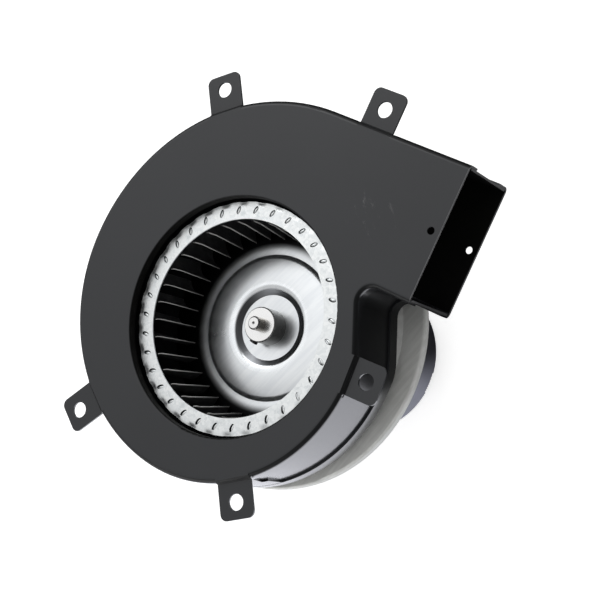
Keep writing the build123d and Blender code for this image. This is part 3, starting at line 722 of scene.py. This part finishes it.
# back disc: well, rounded well edge, plateau with a slight crown, crease and outer zone
discPiece = {
    "sheet": blade["seat"], "steps": 144, "crease": 40,
    "places": ((7.6, 0.0), (19.6, 0.0), (24.1, 2.9), (33.0, 2.6), (41.2, 1.7), (43.0, 0.2),
               (49.0, 0.5), (56.5, 0.0), (66.4, 0.0)),
    "corners": ((19.6, 0.0, 0.3), (24.1, 2.9, 1.5), (33.0, 2.6, 3.5), (41.2, 1.7, 0.9),
                (43.0, 0.2, 0.6), (49.0, 0.5, 3.0), (56.5, 0.0, 3.0)),
}
wheelDisc = drawProfile("wheelDisc", [(r * mm, foot + up * mm) for r, up in discPiece["places"]])
for r, up, bend in discPiece["corners"]:
    roundCorner(wheelDisc, (r * mm, foot + up * mm), bend * mm)
spinRound(wheelDisc, discPiece["steps"])
modify(wheelDisc, "wall", "SOLIDIFY", {"thickness": discPiece["sheet"] * mm, "offset": -1})
smooth(wheelDisc, discPiece["crease"])
wear(wheelDisc, discZinc, "rotor", "wheel_back_disc")

# tabs: each blade's end comes through a slot in the ring and is folded down over it
tab = {
    "place": 61.9, "lean": -25.0, "slot": (4.9, 2.4, 4.0), "slotSides": 24,
    "size": (4.1, 1.5, 0.9), "shift": (-0.1, 0.3), "segments": 16, "rings": 8, "crease": 60,
}


def leanInPlace(piece, size, shift=(0.0, 0.0)):
    edit(piece)
    bpy.ops.mesh.select_all(action="SELECT")
    bpy.ops.transform.resize(value=[part * mm / 2 for part in size], center_override=(0, 0, 0))
    bpy.ops.transform.rotate(
        value=-math.radians(tab["lean"]), orient_axis="Z", center_override=(0, 0, 0))
    place = ((tab["place"] + shift[0]) * mm, shift[1] * mm, front)
    bpy.ops.transform.translate(value=place)
    bpy.ops.object.mode_set(mode="OBJECT")


letGo()
bpy.ops.mesh.primitive_cylinder_add(
    vertices=tab["slotSides"], radius=1, depth=2, location=(0, 0, 0))
slotCutter = bpy.context.object
slotCutter.name = "slotCutter"
leanInPlace(slotCutter, tab["slot"])
copyRound(slotCutter, ring["blades"])
cut = {"operation": "DIFFERENCE", "object": slotCutter, "solver": "EXACT"}
modify(wheelRing, "slots", "BOOLEAN", cut)
bpy.data.objects.remove(slotCutter)

letGo()
bpy.ops.mesh.primitive_uv_sphere_add(
    segments=tab["segments"], ring_count=tab["rings"], radius=1, location=(0, 0, 0))
wheelTabs = bpy.context.object
wheelTabs.name = "wheelTabs"
leanInPlace(wheelTabs, tab["size"], tab["shift"])
copyRound(wheelTabs, ring["blades"])
smooth(wheelTabs, tab["crease"])
wear(wheelTabs, wheelZinc, "rotor")
print("tabs made")


def dress(finish, *names):
    for name in names:
        mesh = nodes[name].data
        mesh.materials.clear()
        mesh.materials.append(finish.data)


dress(housingPaint, "front_cover", "scroll_wrapper", "back_cover")
dress(motorPaint, "front_bell", "rear_bell", "motor_shell")
dress(plateZinc, "motor_plate")
dress(hubSteel, "wheel_hub")
dress(redFibre, "thrust_washers")
dress(springSteel, "bearing_retainers")
dress(lamination, "stator_core", "rotor_core")
dress(copperWire, "stator_windings")
dress(castAluminium, "rotor_end_rings")
dress(oiledFelt, "bearing_felts")
dress(mouldedRubber, "lead_grommet")
dress(shaftSteel, "shaft")
dress(screwSteel, "plate_screws", "motor_bolts", "bolt_nuts")
dress(darkSteel, "hub_set_screw", "shaft_clips")
dress(bronze, "front_bearing", "rear_bearing")
print("frame dressed")

# the photograph's view: axes of the picture in the part's frame, and the place of the lens
view = {
    "place": (0.4111, 0.06875, 0.61535),
    "right": (0.7671, 0.4097, -0.4937),
    "down": (0.3795, -0.9102, -0.1658),
    "forward": (-0.5173, -0.0601, -0.8537),
    "lens": 80.09,
    "sensor": 36.0,
    "nearest": 0.01,
}
eyeData = bpy.data.cameras.new("eye")
eyeData.lens = view["lens"]
eyeData.sensor_width = view["sensor"]
eyeData.sensor_fit = "HORIZONTAL"
eyeData.clip_start = view["nearest"]
eye = bpy.data.objects.new("eye", eyeData)
bpy.context.scene.collection.objects.link(eye)
up = [-part for part in view["down"]]
back = [-part for part in view["forward"]]
axes = Matrix((view["right"], up, back))
eye.matrix_world = Matrix.Translation(view["place"]) @ axes.transposed().to_4x4()
bpy.context.scene.camera = eye

# pale floor under the motor, white to the camera and bluish white in reflections (a painted
# reflection colour), with
# # the object's shadow; in reflections the floor behind the outlet is painted black as shade, whose
# edge lies a little
# # further back beside the motor: walls that face it reflect no light
floorLook = {
    "size": 6.0, "color": (0.82, 0.82, 0.82, 1), "rough": 0.9,
    "glow": 0.6, "tint": (0.85, 0.87, 1.0, 1),
    "reflectedShade": (-0.04, 0.0), "reflectedShadeColor": (0.01, 0.01, 0.01, 1),
    "near": (0.10, 0.13), "nearShift": 0.028,
}
letGo()
bpy.ops.mesh.primitive_plane_add(size=floorLook["size"], location=(0, 0, cadBox[0][2]))
floor = bpy.context.object
floor.name = "floor"
pale = Finish("paleFloor", None)
rays = pale.add("ShaderNodeLightPath", {}, {}, "Is Camera Ray")
mirror = Num(pale, rays.socket.node.outputs["Is Glossy Ray"])
x, y, z = pale.xyz()
behind = y - floorLook["nearShift"] * (1 - x.step(*floorLook["near"]))
reflectedShade = mirror * behind.step(*floorLook["reflectedShade"])
glow = pale.blend(mirror, (1, 1, 1, 1), floorLook["tint"])
pale.surface({
    "Base Color": pale.blend(reflectedShade, floorLook["color"], floorLook["reflectedShadeColor"]),
    "Roughness": floorLook["rough"],
    "Specular IOR Level": 0.0,
    "Emission Color": pale.blend(rays + mirror * (1 - reflectedShade), (0, 0, 0, 1), glow),
    "Emission Strength": floorLook["glow"],
})
floor.data.materials.append(pale.data)

# soft studio light: a room that is white to the camera; in reflections its right and far sides
# are dark, and its near side is dimmer
roomLook = {
    "dim": 0.62, "rightSide": (-0.1, 0.4), "rightDarkness": 0.95,
    "farSide": (0.25, 0.55), "farDarkness": 0.85, "nearSide": (-0.35, -0.03), "nearShare": 0.55,
}
room = NodeTree(bpy.data.worlds.new("room"), "Background", "Generated")
bpy.context.scene.world = room.data
rays = room.add("ShaderNodeLightPath", {}, {}, "Is Camera Ray")
mirror = Num(room, rays.socket.node.outputs["Is Glossy Ray"])
x, y, z = room.xyz()
right = 1 - roomLook["rightDarkness"] * x.step(*roomLook["rightSide"])
near = roomLook["nearShare"] + (1 - roomLook["nearShare"]) * y.step(*roomLook["nearSide"])
far = 1 - roomLook["farDarkness"] * y.step(*roomLook["farSide"])
shown = right * near * far
lit = mirror * shown + (1 - mirror) * roomLook["dim"]
room.surface({"Color": (1, 1, 1, 1), "Strength": rays + (1 - rays) * lit})


def softBox(name, place, target, size, power):
    data = bpy.data.lights.new(name, "AREA")
    data.shape = "RECTANGLE"
    data.size = size[0]
    data.size_y = size[1]
    data.energy = power
    lamp = bpy.data.objects.new(name, data)
    bpy.context.scene.collection.objects.link(lamp)
    lamp.location = place
    lamp.rotation_euler = (Vector(target) - Vector(place)).to_track_quat("-Z", "Y").to_euler()


softBox("topBox", place=(-0.9, 0.9, 0.9), target=(0, 0, 0), size=(1.0, 1.0), power=7)
softBox("lowBox", place=(-0.2, -1.3, 0.35), target=(0, 0, -0.05), size=(1.2, 0.7), power=6)

bpy.context.scene.view_settings.view_transform = "Standard"
print("stage and light set")
